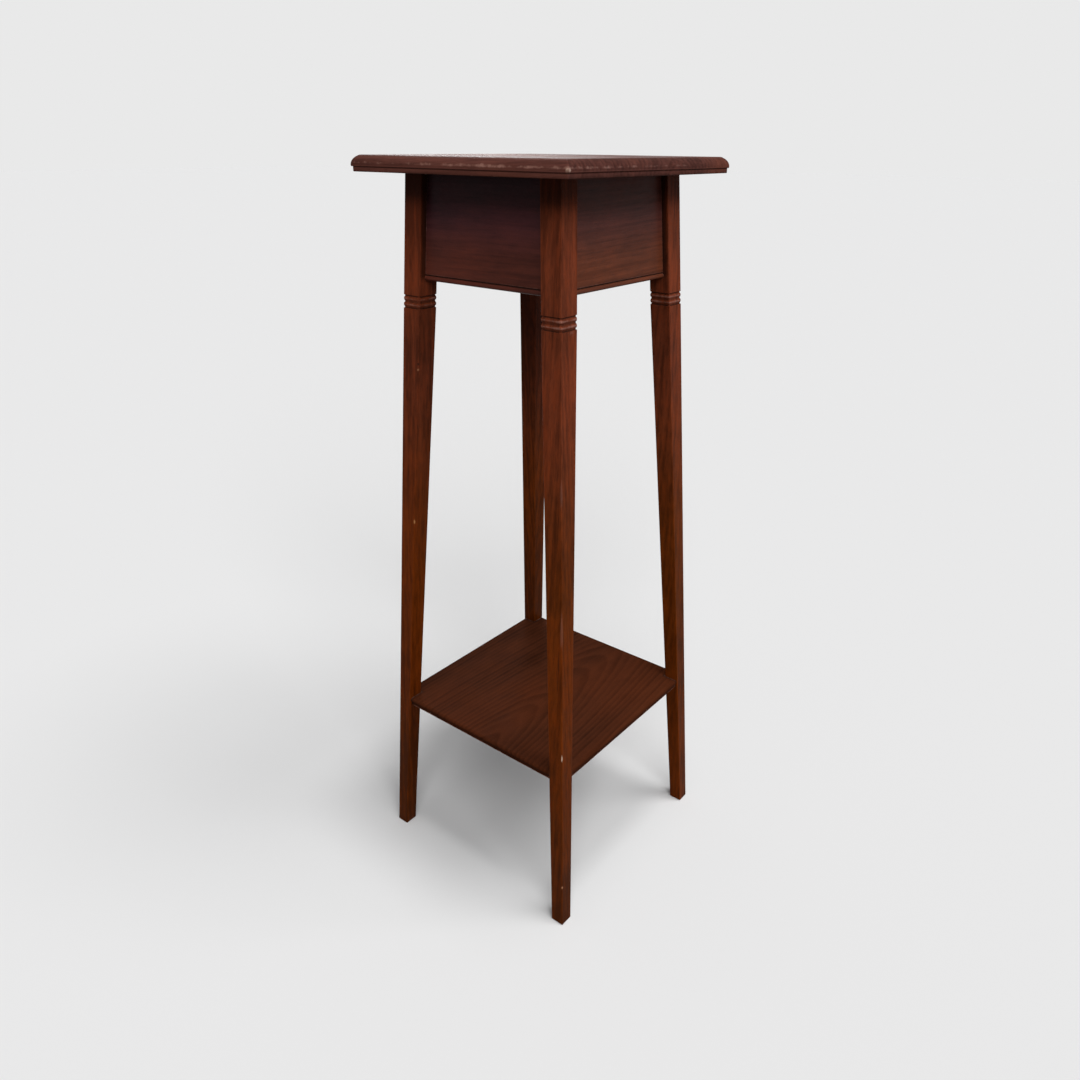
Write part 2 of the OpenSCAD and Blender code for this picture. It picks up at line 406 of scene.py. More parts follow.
def finished(
    bm,
    node,
    wood,
    tone=0.0,
    radius=None,
    soft_edges=None,
    edge_wear=1.0,
    wear_and_glint=None,
    dirt_reach=None,
    dirtied_and_shaded=None,
    shade=None,
):
    """Rounds a board's arrises, marks wear, old wax and painted light and shade, and stands it for
    its node.

    soft_edges(edge) says which arrises are rounded, instead of all of them.
    rubbed(point) gives wear, partly a painted highlight on the collar's beads, and
    dirtied(point) gives old wax, and on the legs painted shade, beside those of the
    arrises and the hollows; shade(point) is painted light and shade, added to the tone."""
    s = settings("sizes")
    if dirt_reach is None:
        dirt_reach = s.dirt_reach
    convex = [e for e in bm.edges if is_sharp(e) and e.is_convex]
    concave = [e for e in bm.edges if is_sharp(e) and not e.is_convex]
    worn = tree_of(points_along(convex))
    dirty = tree_of(points_along(concave))
    rounding = [e for e in convex if soft_edges(e)] if soft_edges else convex
    round_arrises(bm, rounding, radius or s.arris)
    bm.normal_update()
    arris, hollow, board = (bm.verts.layers.float.new(n) for n in ("arris", "hollow", "tone"))
    for vert in bm.verts:
        worn_here = edge_wear * near(worn, vert.co, s.wear_reach)
        dirty_here = near(dirty, vert.co, dirt_reach)
        vert[arris] = max(worn_here, wear_and_glint(vert.co)) if wear_and_glint else worn_here
        vert[hollow] = max(dirty_here, dirtied_and_shaded(vert.co)) if dirtied_and_shaded else dirty_here
        vert[board] = tone + (shade(vert.co) if shade else 0.0)
    ripple_seed = tone * 10
    for vert in bm.verts:
        vert.co = rippled(vert.co, vert.normal, s.ripple, ripple_seed)
    for face in bm.faces:
        face.smooth = True
    for edge in bm.edges:
        edge.smooth = not is_sharp(edge)
    piece = as_object(bm, node + "_wood", wood)
    weighted = piece.modifiers.new("Even shading", "WEIGHTED_NORMAL")
    weighted.keep_sharp = True
    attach(piece, BODY)
    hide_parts(node)


# ---- Shader nodes ----


class Nodes:
    """A node tree, with short calls for the nodes that materials and world share"""

    def __init__(self, tree):
        self.tree = tree

    def feed(self, socket, value):
        """Links a socket to another one, or gives it a value."""
        if isinstance(value, bpy.types.NodeSocket):
            self.tree.links.new(value, socket)
        else:
            socket.default_value = value

    def add(self, kind, inputs=None, **values):
        """The outputs of a new node, whose inputs are fed by their names or numbers."""
        node = self.tree.nodes.new(kind)
        for key, value in values.items():
            setattr(node, key, value)
        for key, value in (inputs or {}).items():
            self.feed(node.inputs[key], value)
        return node.outputs

    def math(self, operation, a, b=0.0, clamp=False):
        return self.add("ShaderNodeMath", {0: a, 1: b}, operation=operation, use_clamp=clamp)[0]

    def mix(self, factor, a, b, blend="MIX"):
        inputs = {"Factor": factor, 6: a, 7: b}
        return self.add("ShaderNodeMix", inputs, data_type="RGBA", blend_type=blend)[2]

    def lit_or_seen(self, lit, seen):
        """One colour as a source of soft light, another for what looks at it."""
        path = self.add("ShaderNodeLightPath")
        looking = self.math("MAXIMUM", path["Is Camera Ray"], path["Is Glossy Ray"])
        looking = self.math("MAXIMUM", looking, path["Is Transmission Ray"])
        return self.mix(looking, lit, seen)


class Shader(Nodes):
    """A material's nodes, whose patterns lie on its object's own coordinates"""

    def __init__(self, name):
        self.material = bpy.data.materials.new(name)
        self.material.use_nodes = True
        super().__init__(self.material.node_tree)
        self.surface = self.tree.nodes["Principled BSDF"]
        self.coords = self.add("ShaderNodeTexCoord")["Object"]

    def set(self, name, value):
        """Feeds one of the surface's own sockets."""
        self.feed(self.surface.inputs[name], value)

    def mapped(self, place=(0, 0, 0), turn=(0, 0, 0), scale=(1, 1, 1), source=None):
        source = source or self.coords
        inputs = {"Vector": source, "Location": place, "Rotation": turn, "Scale": scale}
        return self.add("ShaderNodeMapping", inputs)["Vector"]

    def noise(self, scale, detail, roughness, source=None, output="Fac"):
        source = source or self.coords
        inputs = {"Vector": source, "Scale": scale, "Detail": detail, "Roughness": roughness}
        return self.add("ShaderNodeTexNoise", inputs)[output]

    def grained(self, source, stretch, scale, detail, roughness, output="Fac"):
        """Noise that is drawn out along the grain, the more the smaller the stretch."""
        drawn = self.mapped(scale=(1, 1, stretch), source=source)
        return self.noise(scale, detail, roughness, drawn, output)

    def vector(self, operation, a, b=(0, 0, 0)):
        outputs = self.add("ShaderNodeVectorMath", {0: a, 1: b}, operation=operation)
        return outputs["Value" if operation == "LENGTH" else "Vector"]

    def ramp(self, value, low, high, out_low=0.0, out_high=1.0):
        inputs = {"Value": value, "From Min": low, "From Max": high}
        inputs |= {"To Min": out_low, "To Max": out_high}
        return self.add("ShaderNodeMapRange", inputs, interpolation_type="SMOOTHSTEP")["Result"]

    def swing(self, value, amount, low=0.3, high=0.7):
        """A noise as lighter and darker by the amount, even at its middle."""
        return self.ramp(value, low, high, -amount, amount)

    def toned(self, light, colour, dark=0.55, pale=1.5):
        """A colour from its dark to its pale tone, as light goes from 0 to 1."""
        return self.mix(light, rgba(colour, dark), rgba(colour, pale))

    def attribute(self, name):
        return self.add("ShaderNodeAttribute", attribute_name=name)["Fac"]

    def bump(self, height, strength, distance, base=None):
        inputs = {"Height": height, "Strength": strength, "Distance": distance}
        if base:
            inputs["Normal"] = base
        return self.add("ShaderNodeBump", inputs)["Normal"]


def rgba(value, lift=1.0):
    return (*(min(1.0, channel * lift) for channel in value), 1.0)


# Turns that lay a board's grain, which runs along its log's Z, along an axis
GRAIN_ALONG = {
    "X": (0.0, math.radians(-90), 0.0),
    "Y": (math.radians(90), 0.0, 0.0),
    "Z": (0.0, 0.0, 0.0),
}


class Log(NamedTuple):
    """Where a board lies in its log, and how strong its figure is"""

    grain: str  # axis that the grain runs along
    pith: tuple  # a point on the log's pith
    tilt: tuple  # turns of the pith away from the grain, in radians
    ring: float  # width of a year's ring
    figure: float  # contrast of the rings
    warp: float = 0.012  # how far the rings wander
    lines: float = 1.0  # strength of the streaks, fibres and pores
    mottle: float = 0.0  # strength of the short patches across them


# Noises along the grain of a board: (stretch, scale, detail, roughness)
DRIFT = (0.22, 13.0, 3.0, 0.55)
BROAD = (0.35, 9.0, 3.0, 0.55)
STREAK = (0.03, 160.0, 3.0, 0.6)
FIBRE = (0.02, 900.0, 3.0, 0.65)
PORE = (0.045, 2100.0, 1.0, 0.5)
MOTTLE = (0.18, 230.0, 2.0, 0.6)
# Noises the same all ways: (scale, detail, roughness)
CLOUD = (24.0, 4.0, 0.6)
PATCH = (75.0, 4.0, 0.65)
SPECK = (420.0, 3.0, 0.6)
SWELL = (38.0, 2.0, 0.5)
STAIN = (380.0, 4.0, 0.6)
SCRATCH = (2400.0, 2.0, 0.5)


def figured(shader, log):
    """The patterns of a board's wood, each from about 0 to 1."""
    centred = shader.mapped(place=tuple(-v for v in log.pith))
    turned = shader.mapped(turn=GRAIN_ALONG[log.grain], source=centred)
    tilted = shader.mapped(turn=(*log.tilt, 0.0), source=turned)
    drift = shader.grained(tilted, *DRIFT, output="Color")
    shift = shader.vector("SUBTRACT", drift, (0.5, 0.5, 0.5))
    warped = shader.vector("ADD", tilted, shader.vector("MULTIPLY", shift, (log.warp,) * 3))
    flat = shader.vector("MULTIPLY", warped, (1.0, 1.0, 0.0))
    years = shader.math("MULTIPLY", shader.vector("LENGTH", flat), 1.0 / log.ring)
    season = shader.math("FRACT", years)
    rise = shader.ramp(season, 0.0, 0.78)
    fall = shader.ramp(season, 0.80, 1.0, 1.0, 0.0)
    year = {"W": shader.math("FLOOR", years)}
    each = shader.add("ShaderNodeTexWhiteNoise", year, noise_dimensions="1D")["Value"]
    depth = shader.ramp(each, 0.0, 1.0, 0.35, 1.0)
    return {
        "rings": shader.math("MULTIPLY", shader.math("MULTIPLY", rise, fall), depth),
        "streak": shader.grained(warped, *STREAK),
        "fibre": shader.grained(warped, *FIBRE),
        "pore": shader.ramp(shader.grained(warped, *PORE), 0.60, 0.70),
        "mottle": shader.grained(warped, *MOTTLE),
        "broad": shader.grained(turned, *BROAD),
        "cloud": shader.noise(*CLOUD),
    }


def polished_wood(name, base, log, worn, ior, painted_light_by_height=None, scars=()):
    """Old polished mahogany: its figure, worn arrises in a colour that is partly a painted sheen,
    and old wax in the hollows, with painted shade on the legs.

    worn is how bare the wear leaves the wood and how far it reaches, from 0 to 1.
    faded gives (colour, height, height): from the first height down to the second
    the wood turns to that colour, a painted change of light and shade with the
    height. Each of scars is (middle, half sizes, share, colour)."""
    f = settings("finish")
    shader = Shader(name)
    wood = figured(shader, log)
    ring_part = shader.math("MULTIPLY", wood["rings"], -log.figure)
    light = shader.math("ADD", ring_part, 0.5 + log.figure / 2)
    parts = (
        shader.swing(wood["streak"], 0.22 * log.lines),
        shader.swing(wood["fibre"], 0.10 * log.lines),
        shader.swing(wood["broad"], 0.30, 0.28, 0.72),
        shader.swing(wood["cloud"], 0.08),
        shader.swing(wood["mottle"], log.mottle),
        # The tone attribute: the boards' own tones, with painted light and shade added
        shader.attribute("tone"),
    )
    for part in parts:
        light = shader.math("ADD", light, part)
    body = shader.toned(light, base)
    # Painted light by height: the colour turns from the upper to the lower one
    if painted_light_by_height:
        low, start, end = painted_light_by_height
        height = shader.add("ShaderNodeSeparateXYZ", {0: shader.coords})["Z"]
        share_low = shader.ramp(height, end, start, 1.0, 0.0)
        body = shader.mix(share_low, body, shader.toned(light, low))
    ribbon = shader.ramp(wood["mottle"], 0.42, 0.68, 0.0, min(1.0, 3.0 * log.mottle))
    warm = shader.math("ADD", shader.ramp(wood["broad"], 0.35, 0.75), ribbon, clamp=True)
    warmer = (1.0, 0.86, 0.72, 1.0)
    body = shader.mix(warm, body, shader.mix(1.0, body, warmer, "MULTIPLY"))
    pores = shader.math("MULTIPLY", wood["pore"], 0.45 * log.lines)
    body = shader.mix(pores, body, rgba(base, 0.28))

    speck = shader.noise(*SPECK)
    patches = shader.math("ADD", shader.noise(*PATCH), shader.math("MULTIPLY", speck, 0.35))
    patches = shader.math("MULTIPLY", patches, 0.9)
    reachable = shader.math("ADD", shader.attribute("arris"), patches)
    further = 0.25 * worn
    wear = shader.ramp(reachable, 1.42 - further, 1.75 - further)
    wear = shader.math("MULTIPLY", wear, worn, clamp=True)
    # Wear on the arrises and beads, in a colour that is partly a painted sheen
    body = shader.mix(wear, body, rgba(f.worn_wood_and_sheen))
    ragged = shader.math("MULTIPLY", speck, 0.9)
    for middle, halves, amount, tint in scars:
        place = tuple(-m / h for m, h in zip(middle, halves))
        spot = shader.mapped(place=place, scale=tuple(1.0 / h for h in halves))
        reach = shader.math("ADD", shader.vector("LENGTH", spot), ragged)
        mark = shader.math("MULTIPLY", shader.ramp(reach, 0.85, 1.45, 1.0, 0.0), amount)
        body = shader.mix(mark, body, rgba(tint))

    # Old wax in the hollows, and on the legs painted shade under the top and beside the aprons
    dirt_and_shade = shader.math("MULTIPLY", shader.ramp(shader.attribute("hollow"), 0.15, 1.0), 0.8)
    body = shader.mix(dirt_and_shade, body, rgba(f.dirt_and_shade))
    shader.set("Base Color", body)

    rough = shader.ramp(wood["cloud"], 0.3, 0.75, f.polish_rough - 0.05, f.polish_rough + 0.10)
    rough = shader.math("ADD", rough, shader.math("MULTIPLY", wood["pore"], 0.12))
    for bared in (wear, dirt_and_shade):
        more = shader.math("MULTIPLY", bared, f.bare_rough - f.polish_rough)
        rough = shader.math("ADD", rough, more)
    shader.set("Roughness", rough)
    shader.set("Specular IOR Level", f.polish_specular)
    shader.set("IOR", ior)

    relief = shader.math("MULTIPLY", wood["fibre"], 0.5)
    relief = shader.math("SUBTRACT", relief, wood["pore"])
    relief = shader.math("SUBTRACT", relief, shader.math("MULTIPLY", wear, 0.8))
    relief = shader.bump(relief, 0.35, 0.00012)
    shader.set("Normal", shader.bump(shader.noise(*SWELL), 0.25, 0.0009, relief))
    return shader.material


def bare_wood(name, base, log):
    """Unpolished softwood or beech, as sawn or turned."""
    f = settings("finish")
    shader = Shader(name)
    wood = figured(shader, log)
    light = shader.math("ADD", shader.math("MULTIPLY", wood["rings"], -log.figure), 0.65)
    light = shader.math("ADD", light, shader.swing(wood["streak"], 0.2))
    light = shader.math("ADD", light, shader.swing(wood["cloud"], 0.25))
    shader.set("Base Color", shader.toned(light, base, 0.45, 1.25))
    rough = (f.bare_rough, f.bare_rough + 0.2)
    shader.set("Roughness", shader.ramp(wood["fibre"], 0.3, 0.7, *rough))
    shader.set("Specular IOR Level", f.polish_specular)
    shader.set("Normal", shader.bump(wood["fibre"], 0.5, 0.0003))
    return shader.material


def dull_steel(name, base):
    """Wood screws' steel, with a little rust."""
    shader = Shader(name)
    stain = shader.noise(*STAIN)
    rust = (0.11, 0.045, 0.018, 1.0)
    shader.set("Base Color", shader.mix(shader.ramp(stain, 0.55, 0.72), rgba(base), rust))
    shader.set("Metallic", shader.ramp(stain, 0.55, 0.72, 1.0, 0.2))
    shader.set("Roughness", shader.ramp(stain, 0.4, 0.7, 0.35, 0.75))
    shader.set("Normal", shader.bump(shader.noise(*SCRATCH), 0.3, 0.00005))
    return shader.material


# ---- Operators: one for each group of like pieces ----


# Painted shade low on the legs, most behind the shelf, and painted light on their inner faces
# below the aprons (on the back right leg's, painted shade at both ends), by height
FRONT_RIGHT_SHIN = ((0.20, 0.07), (0.28, 0.0))
OTHER_SHINS = ((0.05, 0.0), (0.14, 0.13), (0.26, 0.13), (0.32, 0.0))
INSIDES = ((0.40, 0.0), (0.55, 0.12))
BACK_RIGHT_INSIDE = ((0.14, -0.10), (0.25, 0.14), (0.60, 0.14), (0.72, -0.26))


class STAND_OT_legs(bpy.types.Operator):
    """Build the four splayed legs with their taper, collar and foot chamfer"""

    bl_idname = "stand.legs"
    bl_label = "Legs"

    def levels(self):
        """Levels (height, cut off each face) of a leg, from the floor up."""
        s = settings("sizes")
        taper_steps = 14
        upper_steps = 12
        arc_steps = 8
        bottom = collar_bottom()
        top = bottom + collar_height()
        levels = [(0.0, s.foot_chamfer), (s.foot_chamfer, 0.0)]
        levels += [(bottom * i / taper_steps, 0.0) for i in range(1, taper_steps + 1)]
        bead_r = (s.collar_bead_h**2 / 4 + s.collar_depth**2) / (2 * s.collar_depth)
        pitch = s.collar_bead_h + s.collar_groove_w
        levels.append((bottom, s.collar_depth))
        for bead in range(s.collar_beads):
            middle = bottom + s.collar_groove_w + s.collar_bead_h / 2 + bead * pitch
            for step in range(arc_steps + 1):
                rise = s.collar_bead_h * (step / arc_steps - 0.5)
                levels.append((middle + rise, bead_r - math.sqrt(bead_r**2 - rise**2)))
        levels += [(top, s.collar_depth), (top, 0.0)]
        rest = TOP_LOW.z - top
        levels += [(top + rest * i / upper_steps, 0.0) for i in range(1, upper_steps + 1)]
        return levels

    def crest(self, co):
        """1 on the crest of a collar's bead, 0 in the grooves and off the collar."""
        s = settings("sizes")
        bottom = collar_bottom()
        if not bottom < co.z < bottom + collar_height():
            return 0.0
        pitch = s.collar_bead_h + s.collar_groove_w
        within = (co.z - bottom - s.collar_groove_w / 2) / pitch % 1.0
        return 1.0 - abs(2.0 * within - 1.0)

    def bead_wear_and_highlight(self, co):
        """Wear and a painted highlight on the collar's beads, which stand where hands and cloths
        pass.
        """
        crest = self.crest(co)
        return 0.44 + 0.49 * crest if crest > 0.5 else 0.0

    def dirt_and_shade_by_aprons(self, co):
        """Dirt and painted shade in the corner between a leg's inner face and the apron beside it.
        """
        if co.z < APRON_LOW.z or not on_inner_face(co):
            return 0.0
        depth = outer(co.z) - max(abs(co.x), abs(co.y))
        return min(1.0, max(0.0, 0.25 + depth / settings("sizes").apron_recess))

    def dirt_and_shade_on_leg(self, co):
        """Old wax in the collar's grooves, painted shade under the top on the front and back
        faces, and old wax with painted shade beside the aprons.
        """
        bottom = collar_bottom()
        if bottom <= co.z <= bottom + collar_height():
            return max(0.0, 1.0 - 1.6 * self.crest(co))
        shade_under_top = 0.0
        # Painted shadow of the top on the front and back faces
        if abs(co.y) > abs(co.x):
            shade_under_top = along(co.z, ((TOP_LOW.z - 0.040, 0.0), (TOP_LOW.z - 0.025, 0.60)))
        return max(shade_under_top, self.dirt_and_shade_by_aprons(co))

    def shade(self, co):
        """Painted shade toward the foot (partly grime), behind the shelf and under the top, and
        painted light on the inner faces.
        """
        left = co.x < 0
        most, drop = (0.85, 0.120) if left else (0.34, 0.085)
        # Painted shadow of the top, longer on the left legs
        painted_top_shadow = along(co.z, ((TOP_LOW.z - drop, 0.0), (TOP_LOW.z, most)))
        inside = on_inner_face(co)
        if inside and min(co.x, co.y) > 0:
            return along(co.z, BACK_RIGHT_INSIDE) - painted_top_shadow
        # Painted shade toward the floor, stronger on the right faces, with some grime, and painted
        # shade behind the shelf
        grime_and_shade = along(co.z, ((0.0, 0.28 if faces_right(co) else 0.14), (0.5, 0.0)))
        grime_and_shade += along(co.z, OTHER_SHINS if left or co.y > 0 else FRONT_RIGHT_SHIN)
        painted_inner_light = along(co.z, INSIDES) if inside and co.z < APRON_LOW.z else 0.0
        return painted_inner_light - grime_and_shade - painted_top_shadow

    def scars(self):
        """Marks on the two front legs' arrises, as (middle, half sizes, share, colour)."""
        f = settings("finish")
        inset = 0.0004
        # Rows of (height, half sizes, share, colour)
        right_leg = (
            (0.2365, (0.0011, 0.0011, 0.0058), 0.60, (0.62, 0.45, 0.33)),
            (0.0560, (0.0016, 0.0016, 0.0022), 0.55, (0.50, 0.24, 0.13)),
            (0.4010, (0.0024, 0.0024, 0.0380), 0.16, f.worn_wood_and_sheen),
            (0.5600, (0.0020, 0.0020, 0.0240), 0.14, f.worn_wood_and_sheen),
        )
        left_leg = (
            (0.4665, (0.0015, 0.0015, 0.0036), 0.38, (0.55, 0.28, 0.11)),
            (0.6608, (0.0018, 0.0018, 0.0019), 0.32, (0.42, 0.20, 0.10)),
            (0.6675, (0.0020, 0.0020, 0.0021), 0.70, f.dirt_and_shade),
        )
        marks = []
        for z, *mark in right_leg:
            marks.append(((outer(z) - inset, inset - outer(z), z), *mark))
        for z, *mark in left_leg:
            marks.append(((-inset - inner(z), inset - outer(z), z), *mark))
        crack_z, crack_in = 0.350, 0.0052
        side = outer(crack_z)
        crack = (side - crack_in, -side, crack_z)
        marks.append((crack, (0.0007, 0.002, 0.062), 0.62, f.dirt_and_shade))
        return marks

    def execute(self, context):
        f = settings("finish")
        log = Log(
            "Z",
            pith=(0.045, 0.030, 0.0),
            tilt=(math.radians(1.2), math.radians(-0.8)),
            ring=0.0055,
            figure=0.25,
            mottle=0.20,
        )
        # The lower legs turn to the darker colour: painted shade toward the floor
        marks = {"painted_light_by_height": (f.leg_low, collar_bottom() - 0.05, 0.40), "scars": self.scars()}
        wood = polished_wood("Leg_mahogany", f.leg_wood, log, worn=0.45, ior=f.leg_ior, **marks)
        levels = self.levels()
        cuts = (0.0, 0.15, 0.5, 0.85, 1.0)
        # Tones by (side, end): the legs on the left are darker
        tones = {(-1, -1): -0.17, (1, -1): 0.02, (-1, 1): -0.28, (1, 1): 0.0}
        upright = math.cos(math.radians(30))

        def is_upright(edge):
            return abs((edge.verts[0].co - edge.verts[1].co).normalized().z) > upright

        for side_name, side in SIDES.items():
            for end_name, end in ENDS.items():

                def place(i, j, k, side=side, end=end):
                    z, cut = levels[k]
                    low, high = inner(z) + cut, outer(z) - cut
                    x, y = (low + (high - low) * cuts[n] for n in (i, j))
                    return Vector((side * x, end * y, z))

                def wear_and_glint(co, most=1.0 if (side, end) == (1, -1) else 0.97):
                    return most * self.bead_wear_and_highlight(co)

                finished(
                    extruded(len(cuts), len(levels), place),
                    f"leg_{end_name}_{side_name}",
                    wood,
                    tones[side, end],
                    soft_edges=is_upright,
                    edge_wear=0.66,
                    wear_and_glint=wear_and_glint,
                    dirt_reach=0.0014,
                    dirtied_and_shaded=self.dirt_and_shade_on_leg,
                    shade=self.shade,
                )
        return {"FINISHED"}


class STAND_OT_aprons(bpy.types.Operator):
    """Build the four aprons with the quirk and bead along their lower edge"""

    bl_idname = "stand.aprons"
    bl_label = "Aprons"

    def section(self):
        """Points (distance out, height) round an apron, from its top face down."""
        s = settings("sizes")
        arc_steps = 12
        top_z, low_z = TOP_LOW.z, APRON_LOW.z
        quirk_z = low_z + s.bead_d
        bead_r = s.bead_d / 2
        bead_x = apron_face(low_z) - bead_r + s.bead_proud
        bead_z = low_z + bead_r
        wall_x = apron_face(quirk_z) - s.quirk
        start = math.acos((wall_x - bead_x) / bead_r)
        # The points between the top and the quirk let the tone change with the height
        heights = [top_z - drop for drop in (0.0, 0.004, 0.06, 0.10)]
        heights += [quirk_z + rise for rise in (0.006, s.quirk / 2)]
        points = [(apron_face(z), z) for z in heights]
        points.append((wall_x, quirk_z + s.quirk / 2))
        for step in range(arc_steps + 1):
            angle = start - (start + math.pi / 2) * step / arc_steps
            across, up = bead_r * math.cos(angle), bead_r * math.sin(angle)
            points.append((bead_x + across, bead_z + up))
        points.append((apron_face(low_z) - s.apron_t, low_z))
        points.append((apron_face(top_z) - s.apron_t, top_z))
        return points

    def build(self, turn):
        """The front apron, turned about the stand's middle into its place."""
        bm = bmesh.new()
        ring = [bm.verts.new((BOARD_CUTS[0], -out, z)) for out, z in self.section()]
        front = [bm.faces.new(ring)]
        for before, cut in zip(BOARD_CUTS, BOARD_CUTS[1:]):
            grown = bmesh.ops.extrude_face_region(bm, geom=front)["geom"]
            if before != BOARD_CUTS[0]:
                bmesh.ops.delete(bm, geom=front, context="FACES")
            front = [g for g in grown if isinstance(g, bmesh.types.BMFace)]
            moved = {v for f in front for v in f.verts}
            bmesh.ops.translate(bm, verts=list(moved), vec=(cut - before, 0, 0))
        for vert in bm.verts:
            vert.co.x *= inner(vert.co.z)
        bmesh.ops.recalc_face_normals(bm, faces=bm.faces)
        bmesh.ops.rotate(bm, verts=bm.verts, matrix=Matrix.Rotation(turn, 3, "Z"))
        return bm

    def woods(self):
        """The wood of the front and back aprons, and the paler one of the other two."""
        f = settings("finish")
        same = {"ring": 0.0045, "figure": 0.10, "warp": 0.01, "mottle": 0.09}
        logs = {
            "front": Log("X", (0.0, 0.02, 0.62), (0.0, math.radians(1.0)), lines=0.55, **same),
            "right": Log("Y", (0.02, 0.0, 0.60), (math.radians(-1.2), 0.0), lines=0.8, **same),
        }
        lifts = {"front": (1.0, 1.0, 1.0), "right": (1.50, 1.52, 1.0)}
        woods = {}
        for name, log in logs.items():
            high, low = (
                tuple(channel * lift for channel, lift in zip(base, lifts[name]))
                for base in (f.apron_wood, f.apron_lit)
            )
            # Painted light: the shaded colour under the top turns to the lit one lower down
            painted_light_by_height = (low, TOP_LOW.z - 0.035, APRON_LOW.z + 0.02)
            title = "Apron_mahogany_" + name
            woods[name] = polished_wood(title, high, log, 0.25, f.polish_ior, painted_light_by_height)
        return woods

    def painted_top_shadow(self, co):
        """Painted shadow of the top: darker just under it, most of all at the front and back."""
        most = 0.34 if abs(co.y) > abs(co.x) else 0.06
        reach = 0.042
        return -most * max(0.0, 1.0 - (TOP_LOW.z - co.z) / reach)

    def execute(self, context):
        woods = self.woods()
        wood_of = {"front": "front", "right": "right", "back": "front", "left": "right"}
        for quarters, (name, wood) in enumerate(wood_of.items()):
            bm = self.build(math.pi / 2 * quarters)
            tone = 0.02 * quarters - 0.03
            # Each apron's tone takes the top's painted shadow
            finished(bm, "apron_" + name, woods[wood], tone, CRISP_ARRIS, shade=self.painted_top_shadow)
        return {"FINISHED"}


class STAND_OT_boards(bpy.types.Operator):
    """Build the top board and the notched shelf with their moulded edges"""

    bl_idname = "stand.boards"
    bl_label = "Top and shelf"

    def make_top(self):
        s = settings("sizes")
        f = settings("finish")
        half, high_z = TOP_HIGH.x, TOP_HIGH.z
        levels = moulding("top", half, TOP_LOW.z, high_z)

        def place(i, j, k):
            z, reach = levels[k]
            return Vector((BOARD_CUTS[i] * reach, BOARD_CUTS[j] * reach, z))

        log = Log(
            "X",
            pith=(0.0, 0.035, 0.865),
            tilt=(0.0, math.radians(3.5)),
            ring=0.0065,
            figure=0.30,
            warp=0.016,
            lines=0.8,
            mottle=0.08,
        )
        nick_at = (half - 0.002, 0.002 - half, high_z - 0.010)
        nick = (nick_at, (0.003, 0.003, 0.003), 0.6, (0.50, 0.34, 0.25))
        wood = polished_wood("Top_mahogany", f.top_wood, log, 0.55, f.top_ior, scars=[nick])

        def rubbed_nose(co):
            """Wear along the nose: most at the front corner, less on the end grain."""
            middle, spread = high_z - 0.0080, 0.0065
            height = max(0.0, 1.0 - abs(co.z - middle) / spread)
            outward = max(abs(co.x), abs(co.y)) > half - s.top_undercut
            corner = max(0.0, 1.0 - (Vector((half, -half)) - co.xy).length / (1.3 * half))
            most = (0.71 if faces_right(co) else 0.79) + 0.15 * corner
            return height * most if outward else 0.0

        def edge_painted_light(co):
            """Painted light and shade on the edge: darker on the right, which is also end grain,
            lighter at the front and left, painted shade on the upper round and the band's foot,
            and painted light under the nose.
            """
            if max(abs(co.x), abs(co.y)) < half - s.top_round_w:
                return 0.0
            # Darker on the right, which is end grain, partly painted shade; lighter at the front
            # and left, painted light
            grain = -0.20 if faces_right(co) else 0.14
            drop = high_z - co.z
            nose = s.top_round_h + s.top_lip
            crown, slack, band = 0.0045, 0.0003, nose + 0.004
            # Painted shade on the upper part of the round
            if drop < crown:
                return grain - 0.05
            # Painted light in the shade under the nose
            if nose < drop < nose + s.top_nose + slack:
                return grain + 0.60
            # Painted shade on the lower part of the band
            return grain - (0.22 if drop > band else 0.0)

        finished(
            extruded(len(BOARD_CUTS), len(levels), place),
            "top_board",
            wood,
            edge_wear=0.75,
            wear_and_glint=rubbed_nose,
            dirt_reach=0.0,
            shade=edge_painted_light,
        )

    def make_shelf(self):
        s = settings("sizes")
        f = settings("finish")
        half = outer(SHELF_HIGH.z) - s.shelf_setback
        levels = moulding("shelf", half, SHELF_LOW.z, SHELF_HIGH.z)
        support_gap, inside = 0.005, 0.04
        left = ("edge", "tongue", "notch", "support", "inside")
        cuts = (*left, *reversed(left))

        def across(index, level):
            """Where a cut lies at a level: the notches follow the leaning legs."""
            z, reach = levels[level]
            ease = max(0.0, z - (SHELF_HIGH.z - s.notch_ease))
            notch = inner(z) - ease
            spots = {
                "edge": reach,
                "tongue": (reach + notch) / 2,
                "notch": notch,
                "support": notch - support_gap,
                "inside": inside,
            }
            sign = -1 if index < len(left) else 1
            return sign * spots[cuts[index]]

        def place(i, j, k):
            return Vector((across(i, k), across(j, k), levels[k][0]))

        def keep(i, j):
            """All squares but those in the notches at the four corners."""
            last = len(cuts) - 2
            return not all(n < 2 or n > last - 2 for n in (i, j))

        def dirt_by_legs(co):
            """Dirt round the notches, where a cloth does not reach."""
            reach = 0.006
            gap = Vector((max(0.0, inner(co.z) - abs(n)) for n in co.xy)).length
            return 0.75 * max(0.0, 1.0 - gap / reach)

        log = Log(
            "Y",
            pith=(0.024, 0.0, 0.165),
            tilt=(math.radians(9.0), 0.0),
            ring=0.0060,
            figure=0.42,
            lines=0.4,
        )
        wood = polished_wood("Shelf_mahogany", f.shelf_wood, log, 0.5, f.shelf_ior)
        bm = extruded(len(cuts), len(levels), place, keep)
        finished(bm, "shelf", wood, radius=CRISP_ARRIS, dirtied_and_shaded=dirt_by_legs)

    def execute(self, context):
        self.make_top()
        self.make_shelf()
        return {"FINISHED"}


